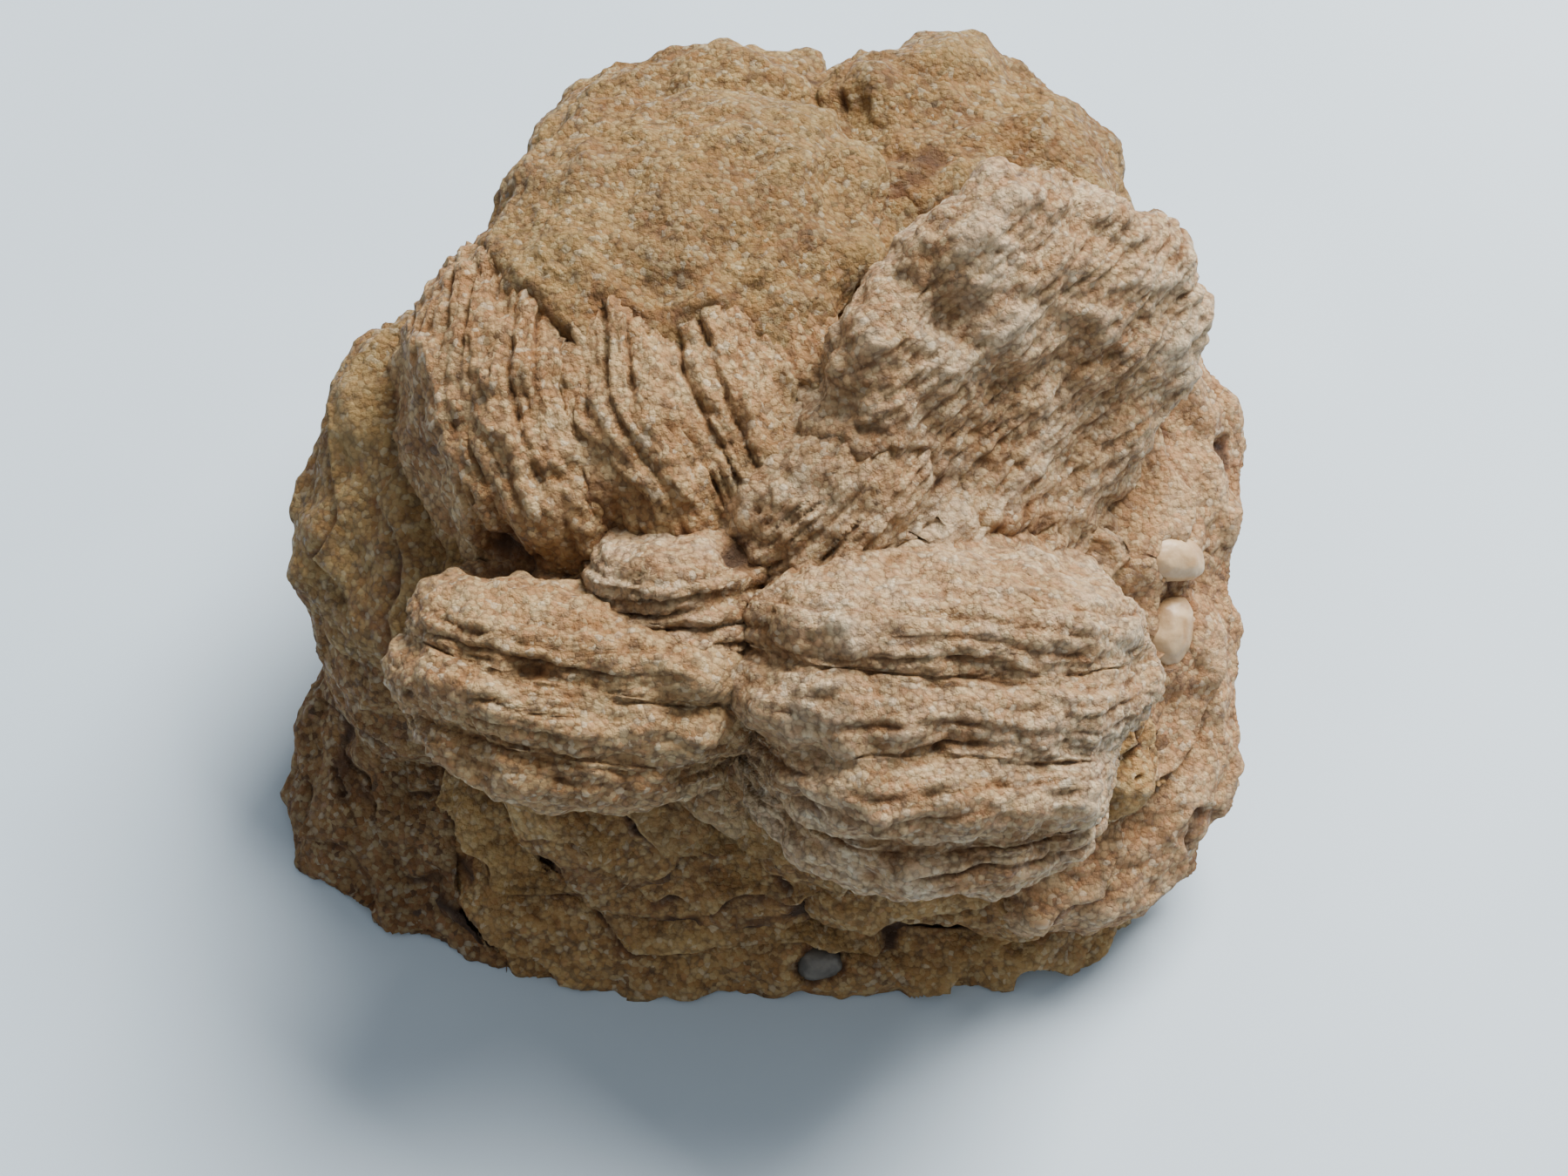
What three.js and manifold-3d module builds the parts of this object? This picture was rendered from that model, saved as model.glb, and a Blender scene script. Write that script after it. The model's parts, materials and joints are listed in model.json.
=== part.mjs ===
// Baryte rose: a rosette of sand-filled baryte blades that grew into one another.
// Each blade is one crystal, or one book of crystal sheets, and is a solid of its own.
// Where two blades meet, the later one stops at the earlier one, as intergrown crystals do.
// The blades are placed in the rosette's own frame: X across its open face, Y up the face and
// Z out of the face. The whole rosette then leans back onto the blades that it rests on.
// Lengths are in millimetres, angles in degrees.
import * as THREE from "three";
import { mergeVertices } from "three/addons/utils/BufferGeometryUtils.js";
import Module from "manifold-3d";

const wasm = await Module();
wasm.setup();

const FACE_TILT = 30; // the open face leans this far from looking straight up
const REST_DEPTH = 23.5; // from the rosette's middle down to the surface that it rests on
const SEAM = 0.3; // clearance between neighbouring crystals
const GROUND_SIZE = 200; // the block that planes the resting points flat
const AROUND = 16; // facets round a blade's rim
const RINGS = 6; // rings of facets from one face's middle to the other's
const MERGE = 1e-4; // vertices closer than this are one

// The waves that make a blade's outline uneven: how many go round it, how far a step of its seed
// turns them, and how high they stand beside one another.
const RIM_WAVES = [
  { count: 2, turn: 1.7, height: 0.55 },
  { count: 3, turn: 2.9, height: 0.45 },
  { count: 5, turn: 4.3, height: 0.35 },
];

// From one sheet of a book to the next, its step and its seed change by this much.
const STEP_TURN = 2.4;
const SEED_STEP = 0.37;

const SAND = { color: 0xb59a70, roughness: 0.95, metalness: 0 };
const WHITE_QUARTZ = { color: 0xd8cbb8, roughness: 0.45, metalness: 0 };
const GREY_CHERT = { color: 0x4a4b4d, roughness: 0.5, metalness: 0 };

// What a blade is unless it says otherwise.
const PLAIN_BLADE = {
  sheets: 1, // crystal sheets in the book
  fill: 1.4, // a sheet's half thickness in a book, as a share of the pitch
  taper: 0.2, // how much smaller its outermost sheets are
  stagger: 0.06, // how unevenly its sheets end
  spread: 0, // the angle that its sheets open to
  blunt: 3, // 2 is an oval section, and more is a flatter face with a blunter rim
  square: 2.3, // 2 is an oval outline, and more is squarer
  ripple: 0.08, // unevenness of its outline
  dish: 0, // how far its rim stands above its middle
  seed: 1,
};

const toRadians = THREE.MathUtils.degToRad;

// The frame of a blade: its own Z is the way its face looks, and its own X runs along it.
function placement({ at, faces, along }) {
  const normal = new THREE.Vector3(...faces).normalize();
  const across = new THREE.Vector3().crossVectors(normal, new THREE.Vector3(...along)).normalize();
  const length = new THREE.Vector3().crossVectors(across, normal);
  return new THREE.Matrix4().makeBasis(length, across, normal).setPosition(...at);
}

// How far the rim of a blade stands out at an angle round it, as a share of a plain oval's.
function rimReach(angle, { square, ripple, seed }) {
  const corners = Math.abs(Math.cos(angle)) ** square + Math.abs(Math.sin(angle)) ** square;
  let swell = 0;
  for (const { count, turn, height } of RIM_WAVES) {
    swell += height * Math.sin(count * angle + seed * turn);
  }
  return corners ** (-1 / square) * (1 + ripple * swell);
}

// One closed sheet: a blunt lens with an uneven outline.
function sheet([length, breadth, thickness], shape) {
  const profile = [];
  for (let ring = 0; ring <= RINGS; ring++) {
    const angle = Math.PI * (ring / RINGS - 0.5);
    const reach = Math.max(0, Math.cos(angle)) ** (2 / shape.blunt);
    profile.push(new THREE.Vector2(ring % RINGS ? reach : 0, Math.sin(angle)));
  }
  const geometry = new THREE.LatheGeometry(profile, AROUND);
  const position = geometry.getAttribute("position");
  for (let i = 0; i < position.count; i++) {
    const x = position.getX(i);
    const y = -position.getZ(i);
    const reach = Math.hypot(x, y);
    const rim = rimReach(Math.atan2(y, x), shape);
    position.setXYZ(
      i,
      x * length * rim,
      y * breadth * rim,
      position.getY(i) * thickness + shape.dish * reach * reach,
    );
  }
  return geometry;
}

// A three.js geometry as a manifold-3d solid.
function solidOf(geometry) {
  geometry.deleteAttribute("normal");
  geometry.deleteAttribute("uv");
  const merged = mergeVertices(geometry, MERGE);
  return new wasm.Manifold(
    new wasm.Mesh({
      numProp: 3,
      vertProperties: new Float32Array(merged.getAttribute("position").array),
      triVerts: new Uint32Array(merged.index.array),
    }),
  );
}

// A manifold-3d solid as a three.js geometry.
function geometryOf(solid) {
  const mesh = solid.getMesh();
  const geometry = new THREE.BufferGeometry();
  geometry.setAttribute("position", new THREE.BufferAttribute(mesh.vertProperties, 3));
  geometry.setIndex(new THREE.BufferAttribute(mesh.triVerts, 1));
  geometry.computeVertexNormals();
  return geometry;
}

// The whole blade in the rosette's frame, before its neighbours cut it. A book of several
// sheets steps from sheet to sheet, its outer sheets are smaller, and it opens by its spread
// from a spine behind it. Grow makes it larger all round, to cut its neighbours clear of it.
function wholeBlade(blade, grow) {
  const shape = { ...PLAIN_BLADE, ...blade };
  const { sheets, taper, stagger, spread } = shape;
  const [length, breadth, thickness] = shape.half;
  const pitch = (2 * thickness) / sheets;
  const books = sheets > 1 ? 1 : 0;
  let solid = null;
  for (let i = 0; i < sheets; i++) {
    const place = books ? (2 * i) / (sheets - 1) - 1 : 0;
    const size = 1 - taper * place * place * books;
    const step = stagger * Math.sin(STEP_TURN * i + shape.seed) * books;
    const own = books ? pitch * shape.fill : thickness;
    const geometry = sheet(
      [length * (size + step) + grow, breadth * (size - step) + grow, own + grow],
      { ...shape, seed: shape.seed + i * SEED_STEP },
    );
    geometry.translate(0, breadth, (thickness - pitch / 2) * place);
    geometry.rotateX((toRadians(spread) * place) / 2);
    geometry.translate(0, -breadth, 0);
    const made = solidOf(geometry.applyMatrix4(placement(blade)));
    solid = solid ? solid.add(made) : made;
  }
  return solid;
}

// The largest of a solid's separate bodies.
function mainBody(solid) {
  return solid.decompose().reduce((a, b) => (a.volume() > b.volume() ? a : b));
}

// Grains of other stone that the sand holds. They come first, so that every blade stops at them.
const INCLUSIONS = [
  {
    name: "white_pebble_pointed",
    at: [25.1, -2.7, -1.0], faces: [0.4, 0.05, 0.9], along: [1, -0.1, -0.3],
    half: [2.3, 1.5, 1.3], blunt: 2, finish: WHITE_QUARTZ,
  },
  {
    name: "white_pebble_round",
    at: [25.2, -7.3, -2.3], faces: [0.4, -0.1, 0.9], along: [0.2, 1, 0],
    half: [2.15, 1.6, 1.3], blunt: 2, finish: WHITE_QUARTZ,
  },
  {
    name: "white_quartz_grain",
    at: [17.2, -25.4, -2.8], faces: [-0.2, -0.6, 0.7], along: [1, 0.3, 0],
    half: [0.8, 0.6, 0.6], blunt: 2, finish: WHITE_QUARTZ,
  },
  {
    name: "grey_chert_chip",
    at: [3.4, -28.7, -8.2], faces: [0, -0.4, 0.92], along: [1, 0.2, 0],
    half: [1.4, 1.1, 0.8], blunt: 3, square: 3, finish: GREY_CHERT,
  },
  {
    name: "grey_chert_grain",
    at: [19.9, -1.7, 1.3], faces: [0.4, 0, 0.92], along: [1, 0.4, 0],
    half: [0.7, 0.6, 0.6], blunt: 2, finish: GREY_CHERT,
  },
];

// The crystals of the open face, from the middle outwards.
const FACE_BLADES = [
  {
    name: "middle_bridge",
    at: [-5.4, -4.6, 6.5], faces: [0, 0.93, 0.25], along: [-1, 0.05, 0],
    half: [5.4, 6.5, 2.4], sheets: 3, taper: 0, stagger: 0.06, blunt: 4, square: 3, seed: 5,
  },
  {
    name: "crest_blade",
    at: [14.3, 9.1, 5.5], faces: [0.45, -0.4, 0.8], along: [0.5, 0.87, 0],
    half: [12, 11.6, 4.8], square: 3, blunt: 2.6, ripple: 0.05, dish: 1.2, seed: 1,
  },
  {
    name: "crest_foot",
    at: [3.8, 0.9, 5], faces: [-0.68, 0.6, 0.35], along: [-0.62, -0.74, 0.1],
    half: [8.5, 8, 3.6], sheets: 3, taper: 0.1, fill: 1.3, seed: 2,
  },
  {
    name: "right_fan",
    at: [10.3, -11.3, 5.4], faces: [0.05, 0.85, 0.3], along: [-1, 0, 0],
    half: [12.2, 11, 4.4], sheets: 4, spread: 20, taper: 0.1, stagger: 0.04, fill: 1.7,
    square: 2.8, seed: 3,
  },
  {
    name: "left_tongue",
    at: [-11, -10, 6], faces: [0.15, 0.92, 0.3], along: [-1, 0.16, 0],
    half: [10.3, 9, 2.9], sheets: 3, spread: 12, taper: 0.08, fill: 1.4, square: 2.8, seed: 4,
  },
  {
    name: "shoulder_blade",
    at: [-5, 15.8, 0.9], faces: [0.04, 0.42, 0.9], along: [1, 0.15, 0],
    half: [12.6, 10.5, 6], square: 2.5, blunt: 2.5, seed: 7,
  },
  {
    name: "right_ribs",
    at: [-5.4, 6.8, 1.6], faces: [-0.9, -0.3, 0.2], along: [0.36, -0.9, 0.36],
    half: [11.6, 9, 3.8], sheets: 3, spread: 18, taper: 0.04, stagger: 0.03, fill: 1.8, blunt: 3.2,
    square: 2.5, ripple: 0.05, dish: -2.2, seed: 6,
  },
  {
    name: "left_ribs",
    at: [-12.3, 6.4, 0.6], faces: [-0.93, -0.22, 0.35], along: [0.17, -0.96, 0.32],
    half: [11.4, 9.5, 4.4], sheets: 3, spread: 22, taper: 0.04, stagger: 0.03, fill: 1.8, blunt: 3.2,
    square: 2.5, ripple: 0.05, dish: -2.8, seed: 21,
  },
  {
    name: "crest_root",
    at: [12.5, -2, 3.4], faces: [0.5, -0.1, 0.85], along: [0.85, 0, -0.5],
    half: [9, 5, 4], seed: 26,
  },
  {
    name: "seam_blade",
    at: [-1, -10, -1], faces: [0.1, 0.1, 0.95], along: [0, 1, 0],
    half: [9, 8, 3.5], seed: 25,
  },
  {
    name: "valley_blade",
    at: [3, 7, -2], faces: [-0.2, -0.1, 0.95], along: [1, 0.3, 0],
    half: [10, 9, 4], seed: 24,
  },
];

// The plates behind and around the face.
const OUTER_BLADES = [
  {
    name: "upper_left_plate",
    at: [-5, 21.8, -8], faces: [-0.15, 0.5, 0.85], along: [1, 0, 0],
    half: [10.3, 11, 4.5], square: 2.5, seed: 8,
  },
  {
    name: "upper_right_plate",
    at: [13.2, 21.8, -8], faces: [0.25, 0.5, 0.85], along: [1, 0, 0],
    half: [9.8, 10.5, 4.5], square: 2.4, seed: 9,
  },
  {
    name: "upper_right_ledge",
    at: [14, 15.5, -3], faces: [0.15, 0.4, 0.9], along: [1, 0, 0],
    half: [10.5, 10.5, 3.5], seed: 10,
  },
  {
    name: "left_plate",
    at: [-21.2, 1.5, -3], faces: [-0.5, 0.15, 0.85], along: [0.35, 1, 0],
    half: [11.5, 9.5, 4], square: 2.1, seed: 11,
  },
  {
    name: "left_lower_plate",
    at: [-21, -5, -5], faces: [-0.45, -0.1, 0.88], along: [0, 1, 0],
    half: [10.5, 9.5, 4], seed: 12,
  },
  {
    name: "left_upper_plate",
    at: [-17, 5.5, -6], faces: [-0.5, 0.4, 0.8], along: [0.5, 1, 0],
    half: [11.5, 9.5, 4], seed: 13,
  },
  {
    name: "front_flake_upper",
    at: [-9.2, -15.2, -2.4], faces: [-0.1, -0.3, 0.95], along: [1, 0, 0],
    half: [6.6, 8, 2], seed: 22,
  },
  {
    name: "front_flake_lower",
    at: [-4.5, -19.3, -5], faces: [-0.1, -0.3, 0.95], along: [1, 0, 0],
    half: [9.5, 7, 2], seed: 23,
  },
  {
    name: "fan_ledge",
    at: [11, -14.3, -0.6], faces: [0.1, -0.3, 0.95], along: [1, 0, 0],
    half: [13.2, 9, 3], square: 2.7, seed: 18,
  },
  {
    name: "fan_lower_ledge",
    at: [12.5, -17.6, -4.2], faces: [0.12, -0.3, 0.95], along: [1, 0, 0],
    half: [12.6, 9.4, 3], square: 2.7, seed: 19,
  },
  {
    name: "front_plate",
    at: [2.4, -20.6, -9.4], faces: [0, -0.3, 0.95], along: [1, 0.02, 0],
    half: [22.6, 12.4, 4.5], square: 3.6, ripple: 0.04, seed: 15,
  },
  {
    name: "lower_left_plate",
    at: [-19.5, -18.5, -13], faces: [-0.25, -0.1, 0.96], along: [0, 1, 0],
    half: [13.5, 12, 4.5], square: 3, ripple: 0.05, seed: 14,
  },
  {
    name: "right_plate",
    at: [20.8, -11.8, -5.5], faces: [0.4, -0.1, 0.92], along: [0, 1, 0],
    half: [14.3, 10.8, 4.5], seed: 16,
  },
  {
    name: "right_upper_plate",
    at: [20.5, 2.5, -4], faces: [0.45, 0.1, 0.88], along: [0, 1, 0],
    half: [11, 10.5, 4.5], seed: 17,
  },
];

// The plates of the back and the underside.
const HIDDEN_BLADES = [
  {
    name: "back_plate",
    at: [0, 11.7, -13.7], faces: [0, 0.94, 0.03], along: [1, 0, 0],
    half: [14, 10, 5.5], square: 2.6, seed: 31,
  },
  {
    name: "back_left_plate",
    at: [-15, 6.4, -12.9], faces: [-0.6, 0.72, 0.05], along: [0.6, 0.52, -0.3],
    half: [12, 10, 5], seed: 32,
  },
  {
    name: "back_right_plate",
    at: [15.5, 6.9, -12.1], faces: [0.6, 0.72, 0.05], along: [0.6, -0.52, 0.3],
    half: [12, 10, 5], seed: 33,
  },
  {
    name: "back_left_foot",
    at: [-11, 4.1, -20.9], faces: [-0.35, 0.91, 0.17], along: [1, 0.26, -0.15],
    half: [12, 10, 5], seed: 36,
  },
  {
    name: "back_right_foot",
    at: [11, 4.6, -21.1], faces: [0.35, 0.92, 0.1], along: [1, -0.26, 0.15],
    half: [12, 10, 5], seed: 37,
  },
  {
    name: "left_side_plate",
    at: [-18, -6.6, -13.5], faces: [-0.8, 0.4, 0.4], along: [0, 0.87, -0.5],
    half: [12, 9, 4.5], seed: 34,
  },
  {
    name: "right_side_plate",
    at: [20, -7, -12.1], faces: [0.75, 0.43, 0.44], along: [0, 0.87, -0.5],
    half: [13, 9, 4.5], seed: 35,
  },
  {
    name: "under_plate",
    at: [0, -11.7, -16.3], faces: [0, 0.5, 0.87], along: [1, 0, 0],
    half: [18, 16, 4.5], square: 2.6, seed: 38,
  },
];

const BLADES = [...INCLUSIONS, ...FACE_BLADES, ...OUTER_BLADES, ...HIDDEN_BLADES];

// The block under the rosette, in the rosette's frame.
function ground(lean) {
  const block = new THREE.BoxGeometry(GROUND_SIZE, GROUND_SIZE, GROUND_SIZE);
  block.translate(0, 0, -GROUND_SIZE / 2 - REST_DEPTH);
  return solidOf(block.applyMatrix4(lean.clone().invert()));
}

function buildRose() {
  const lean = new THREE.Matrix4().makeRotationX(toRadians(FACE_TILT));
  const rose = new THREE.Group();
  rose.rotation.x = toRadians(FACE_TILT);
  let taken = ground(lean);
  for (const blade of BLADES) {
    const own = mainBody(wholeBlade(blade, 0).subtract(taken));
    taken = taken.add(wholeBlade(blade, SEAM));
    const place = placement(blade);
    const geometry = geometryOf(own).applyMatrix4(place.clone().invert());
    const mesh = new THREE.Mesh(geometry, new THREE.MeshStandardMaterial(blade.finish ?? SAND));
    mesh.applyMatrix4(place);
    mesh.name = blade.name;
    rose.add(mesh);
  }
  return rose;
}

// The origin is on the resting surface, under the middle of the rosette's box.
function standOnSurface(rose) {
  const box = new THREE.Box3().setFromObject(rose, true);
  const middle = box.getCenter(new THREE.Vector3());
  rose.position.set(-middle.x, -middle.y, -box.min.z);
  const part = new THREE.Group();
  part.add(rose);
  return part;
}

export default standOnSurface(buildRose());
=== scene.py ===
"""A baryte rose: a rosette of sand-filled baryte blades, resting on a pale tabletop.

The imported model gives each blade's place and size. This script carves each blade's own
surface over its solid: the layers that the crystal grew in, the cracks between them, the
lumps and pits of the sand that it holds, and the sand grains themselves.

Meshes are worked on in millimetres and are turned to metres when they are finished.
"""

import json
import logging
import math
from dataclasses import dataclass, field
from enum import Enum
from itertools import product

import bmesh
import bpy
import numpy as np
from bpy.types import Material, Mesh, Node, NodeSocket, NodeTree, Object, World
from mathutils import Matrix, Vector
from mathutils.bvhtree import BVHTree

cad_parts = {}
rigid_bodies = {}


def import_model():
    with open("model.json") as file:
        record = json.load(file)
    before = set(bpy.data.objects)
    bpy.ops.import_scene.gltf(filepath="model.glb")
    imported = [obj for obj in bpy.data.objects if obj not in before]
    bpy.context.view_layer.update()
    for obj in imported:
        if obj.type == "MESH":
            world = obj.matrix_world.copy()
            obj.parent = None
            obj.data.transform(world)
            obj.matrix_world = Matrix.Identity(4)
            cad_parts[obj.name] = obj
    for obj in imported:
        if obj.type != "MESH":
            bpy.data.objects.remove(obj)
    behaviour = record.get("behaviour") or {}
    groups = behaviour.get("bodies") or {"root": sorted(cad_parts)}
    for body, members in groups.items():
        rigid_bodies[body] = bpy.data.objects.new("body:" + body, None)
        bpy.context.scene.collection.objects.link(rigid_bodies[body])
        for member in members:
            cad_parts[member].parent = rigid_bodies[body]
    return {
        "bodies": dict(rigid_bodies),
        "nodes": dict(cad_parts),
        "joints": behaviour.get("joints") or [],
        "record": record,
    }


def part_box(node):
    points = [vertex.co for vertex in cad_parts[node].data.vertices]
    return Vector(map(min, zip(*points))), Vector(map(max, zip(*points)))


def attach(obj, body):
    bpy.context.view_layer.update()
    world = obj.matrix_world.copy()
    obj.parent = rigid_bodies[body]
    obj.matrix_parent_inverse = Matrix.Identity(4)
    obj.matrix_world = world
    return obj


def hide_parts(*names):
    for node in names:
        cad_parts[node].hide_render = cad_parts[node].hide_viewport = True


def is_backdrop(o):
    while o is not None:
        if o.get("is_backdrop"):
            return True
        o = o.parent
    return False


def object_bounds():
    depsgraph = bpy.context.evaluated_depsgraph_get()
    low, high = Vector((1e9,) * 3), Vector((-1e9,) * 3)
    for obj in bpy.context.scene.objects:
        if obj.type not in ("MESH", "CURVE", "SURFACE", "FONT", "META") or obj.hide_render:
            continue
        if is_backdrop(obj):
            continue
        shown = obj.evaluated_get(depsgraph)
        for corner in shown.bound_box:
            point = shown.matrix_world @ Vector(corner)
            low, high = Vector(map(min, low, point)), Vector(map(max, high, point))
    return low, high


LOG = logging.getLogger("baryte_rose")

MM = 0.001  # metres in a millimetre
BODY = "root"
FACE_TILT = math.radians(30)  # how far the rosette's open face leans from looking straight up
ArrayPair = tuple[np.ndarray, np.ndarray]  # two answers, with an entry or a row for each point


def linear(hex_colour: str) -> tuple[float, float, float, float]:
    """Turn an sRGB hex colour into linear light.

    Args:
        hex_colour: Six hex digits, such as "C8A97A".

    Returns:
        Red, green, blue and an alpha of 1.
    """
    channels = []
    for start in (0, 2, 4):
        value = int(hex_colour[start : start + 2], 16) / 255
        channels.append(value / 12.92 if value <= 0.04045 else ((value + 0.055) / 1.055) ** 2.4)
    return (*channels, 1.0)


def add_node(
    tree: NodeTree,
    kind: str,
    settings: dict[str, object] | None = None,
    inputs: dict[str | int, object] | None = None,
    stops: list[tuple[float, str]] | None = None,
) -> Node:
    """Add a shader node with its settings and links.

    Args:
        tree: The material's or world's node tree.
        kind: The node's type name.
        settings: Properties of the node itself.
        inputs: A value, or another node's output socket, for each named or numbered input.
        stops: The place and hex colour of each stop of a colour ramp, in order.

    Returns:
        The new node.
    """
    node = tree.nodes.new(kind)
    for name, value in (settings or {}).items():
        setattr(node, name, value)
    for name, value in (inputs or {}).items():
        if isinstance(value, NodeSocket):
            tree.links.new(value, node.inputs[name])
        else:
            node.inputs[name].default_value = value
    for i, (place, hex_colour) in enumerate(stops or []):
        elements = node.color_ramp.elements
        stop = elements[i] if i < len(elements) else elements.new(place)
        stop.position = place
        stop.color = linear(hex_colour)
    return node


def emptied(owner: Material | World) -> NodeTree:
    """Turn on the nodes of a new material or world, and clear them away.

    Args:
        owner: The material or world.

    Returns:
        Its node tree, empty.
    """
    owner.use_nodes = True
    owner.node_tree.nodes.clear()
    return owner.node_tree


def place_in_mm(tree: NodeTree) -> NodeSocket:
    """Give a material the place on its piece, in millimetres."""
    inputs = {0: add_node(tree, "ShaderNodeTexCoord").outputs["Object"], "Scale": 1 / MM}
    return add_node(tree, "ShaderNodeVectorMath", {"operation": "SCALE"}, inputs).outputs[0]


# ---------------------------------------------------------------------------
# Noise that the surfaces are carved with
# ---------------------------------------------------------------------------


class StoneNoise:
    """Repeatable noise in space, worked out for many points at once.

    A number added to the points moves the pattern, so that no two patterns line up.
    """

    def __init__(self, seed: int) -> None:
        """Draw the noise's tables.

        Args:
            seed: The same seed always gives the same noise.
        """
        draw = np.random.default_rng(seed)
        self.order = draw.permutation(256).astype(np.int32)
        slopes = draw.normal(size=(256, 3))
        self.slopes = (slopes / np.linalg.norm(slopes, axis=1)[:, None]).astype(np.float32)
        self.spots = draw.random((256, 3)).astype(np.float32)
        self.values = draw.random(256).astype(np.float32)

    def entry(self, cell: np.ndarray) -> np.ndarray:
        """Give each whole-number cell its own entry in the tables.

        Args:
            cell: Cells as rows of three whole numbers.

        Returns:
            An index from 0 to 255 for each cell.
        """
        order = self.order
        first = order[cell[:, 0] & 255]
        second = order[(first + cell[:, 1]) & 255]
        return order[(second + cell[:, 2]) & 255]

    def smooth(self, points: np.ndarray, size: float) -> np.ndarray:
        """Smooth noise.

        Args:
            points: Points as rows.
            size: The width of one swell, in the points' units.

        Returns:
            A value for each point, mostly from -1 to 1.
        """
        scaled = (points / size).astype(np.float32)
        base = np.floor(scaled).astype(np.int32)
        part = scaled - base
        ease = part**3 * (part * (part * 6 - 15) + 10)
        total = np.zeros(len(points), np.float32)
        for corner in product((0, 1), repeat=3):
            step = np.array(corner, np.int32)
            slope = self.slopes[self.entry(base + step)]
            weight = np.prod(np.where(step, ease, 1 - ease), axis=1)
            total += weight * np.einsum("ij,ij->i", slope, part - step)
        return total * 1.7

    def layered(self, points: np.ndarray, size: float, layers: int) -> np.ndarray:
        """Smooth noise with finer noise on top of it.

        Args:
            points: Points as rows.
            size: The width of the widest swell.
            layers: How many sizes are added, each half as wide and half as strong.

        Returns:
            A value for each point, mostly from -1 to 1.
        """
        total = np.zeros(len(points), np.float32)
        for i in range(layers):
            total += self.smooth(points + 17.3 * i, size / 2**i) / 2**i
        return total

    def grains(self, points: np.ndarray, size: float) -> ArrayPair:
        """Find the nearest of many scattered grains.

        Args:
            points: Points as rows.
            size: The usual distance between grains.

        Returns:
            The distance to the nearest grain's middle, in sizes, and that grain's own value.
        """
        scaled = (points / size).astype(np.float32)
        base = np.floor(scaled).astype(np.int32)
        nearest = np.full(len(points), 9.0, np.float32)
        value = np.zeros(len(points), np.float32)
        for step in product((-1, 0, 1), repeat=3):
            cell = base + np.array(step, np.int32)
            entry = self.entry(cell)
            away = np.linalg.norm(scaled - cell - self.spots[entry], axis=1)
            closer = away < nearest
            nearest = np.where(closer, away, nearest)
            value = np.where(closer, self.values[entry], value)
        return nearest, value

    def sheets(self, bedded: np.ndarray, thickness: float, run: float) -> ArrayPair:
        """Stack crystal sheets, each of which ends at its own height.

        Args:
            bedded: Places along, across and through the sheets, as rows.
            thickness: The thickness of a sheet.
            run: How far a sheet keeps its height.

        Returns:
            The height of the sheet at each place, mostly from -1 to 1, and how near the place
            is to the groove between two sheets, from 0 to 1.
        """
        level = bedded[:, 2] / thickness
        sheet = np.floor(level)
        part = level - sheet
        own = np.column_stack([bedded[:, :2] / run, sheet * 7.31])
        next_one = own + (0, 0, 7.31)
        blend = fade(part, 0.7, 1.0)
        height = (1 - blend) * self.smooth(own, 1.0) + blend * self.smooth(next_one, 1.0)
        groove = np.exp(-(((part - 0.85) / 0.13) ** 2))
        return height, groove


def fade(values: np.ndarray, low: float, high: float) -> np.ndarray:
    """Ease from 0 at low to 1 at high.

    Args:
        values: Numbers.
        low: Where the result is 0. It may be the larger of the two.
        high: Where the result is 1.

    Returns:
        The eased numbers.
    """
    share = np.clip((values - low) / (high - low), 0, 1)
    return share * share * (3 - 2 * share)


NOISE = StoneNoise(seed=11)  # the same seed always carves the same rosette


# ---------------------------------------------------------------------------
# Finishes
# ---------------------------------------------------------------------------


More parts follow.
